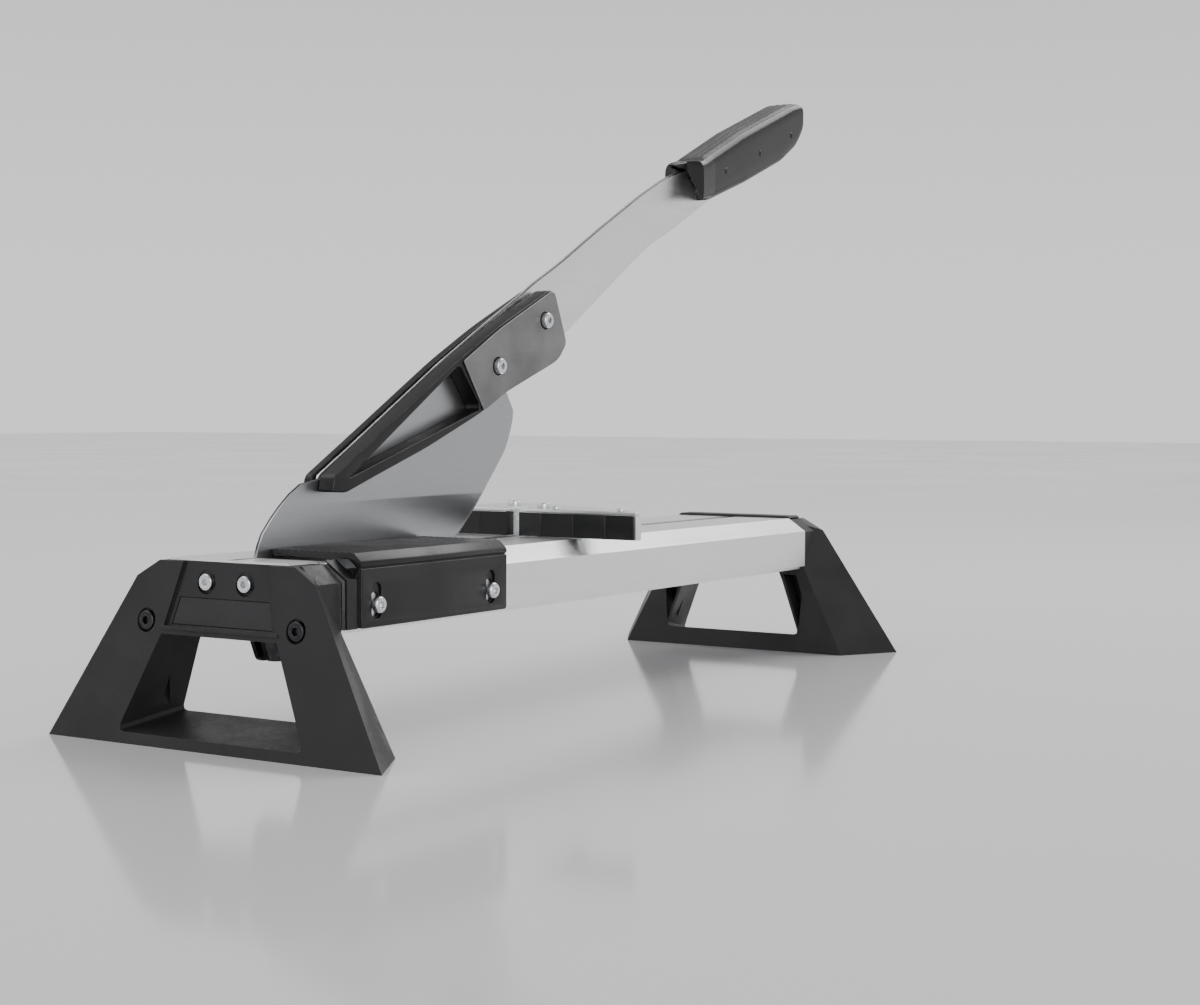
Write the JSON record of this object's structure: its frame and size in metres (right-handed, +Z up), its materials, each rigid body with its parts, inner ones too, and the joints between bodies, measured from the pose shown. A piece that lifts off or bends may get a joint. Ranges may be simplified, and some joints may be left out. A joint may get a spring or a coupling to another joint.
{
  "type": "lever cutter for floor tiles and planks",
  "caption": "Bench guillotine for vinyl tile and laminate: lever blade with pistol-style handle over a slotted aluminium table on two A-frame feet, with fence and side support.",
  "frame": {"origin": "middle of the front foot's base, where it stands on the bench", "axes": "+X along the table from the front foot to the rear foot, +Y to the far side of the blade, +Z up"},
  "size_m": [0.887, 0.315, 0.5666],
  "materials": {
    "foot_plastic": "fine-grained black moulding",
    "plate_plastic": "smooth blank plate",
    "rail_aluminium": "satin extrusion",
    "fence_plate_aluminium": "satin sheet",
    "fence_plastic": "ribbed black moulding",
    "support_plastic": "black moulding with a rim line",
    "blade_steel": "ground steel",
    "arm_steel": "satin steel with a dark rolled top edge",
    "counter_blade_steel": "ground steel",
    "casting_plastic": "black moulding",
    "face_plate_paint": "fine-textured grey paint",
    "handle_plastic": "polished black moulding",
    "grip_rubber": "ridged soft grip",
    "blackened_steel": "blackened",
    "zinc_fasteners": "bright zinc"
  },
  "bodies": {
    "base": {"counter_blade": "counter_blade_steel", "counter_screw_1": "zinc_fasteners", "counter_screw_2": "zinc_fasteners", "counter_screw_3": "zinc_fasteners", "fence_lock_bolt": "zinc_fasteners", "fence_lock_spacer": "zinc_fasteners", "fence_pivot_bolt": "zinc_fasteners", "fence_pivot_spacer": "zinc_fasteners", "front_bracket_screw_far": "zinc_fasteners", "front_bracket_screw_near": "zinc_fasteners", "front_foot": "foot_plastic", "front_nameplate": "plate_plastic", "front_rail_screw_far": "blackened_steel", "front_rail_screw_near": "blackened_steel", "head_plate": "rail_aluminium", "pivot_bolt": "zinc_fasteners", "pivot_bracket_far": "blackened_steel", "pivot_bracket_near": "blackened_steel", "pivot_nut": "zinc_fasteners", "pivot_washer_far": "zinc_fasteners", "pivot_washer_near": "zinc_fasteners", "rail_collar": "support_plastic", "rail_far": "rail_aluminium", "rail_near": "rail_aluminium", "rear_bracket_screw_far": "zinc_fasteners", "rear_bracket_screw_near": "zinc_fasteners", "rear_foot": "foot_plastic", "rear_nameplate": "plate_plastic", "rear_rail_screw_far": "blackened_steel", "rear_rail_screw_near": "blackened_steel", "rear_tie_plate": "blackened_steel", "support_screw_front": "zinc_fasteners", "support_screw_rear": "zinc_fasteners"},
    "support": {"near_support": "support_plastic"},
    "lever": {"blade": "blade_steel", "blade_bush": "blackened_steel", "lever_arm": "arm_steel", "near_casting": "casting_plastic", "near_face_plate": "face_plate_paint", "far_casting": "casting_plastic", "carrier_bolt_lower": "zinc_fasteners", "carrier_bolt_upper": "zinc_fasteners", "carrier_nut_lower": "zinc_fasteners", "carrier_nut_upper": "zinc_fasteners", "blade_screw_front": "blackened_steel", "blade_screw_rear": "blackened_steel", "handle_near": "handle_plastic", "handle_far": "handle_plastic", "handle_top_grip": "grip_rubber", "handle_rivet_1": "zinc_fasteners", "handle_rivet_2": "zinc_fasteners", "handle_rivet_3": "zinc_fasteners"},
    "fence": {"fence_bar_near": "rail_aluminium", "fence_bar_far": "rail_aluminium", "fence_face_near": "fence_plastic", "fence_face_far": "fence_plastic", "fence_plate": "fence_plate_aluminium", "fence_screw_1": "zinc_fasteners", "fence_screw_2": "zinc_fasteners", "fence_screw_3": "zinc_fasteners"}
  },
  "joints": [
    {"name": "lever_pivot", "type": "hinge", "parent": "base", "child": "lever", "pos_m": [0.04125, 0, 0.092], "axis": [0, -1, 0], "range_deg": [-18, 32]},
    {"name": "support_height", "type": "slide", "parent": "base", "child": "support", "axis": [0, 0, 1], "range_m": [-0.0048, 0.0042]},
    {"name": "fence_squaring", "type": "hinge", "parent": "base", "child": "fence", "pos_m": [0.3744, -0.0133, 0.145], "axis": [0, 0, 1], "range_deg": [-5, 5]}
  ]
}
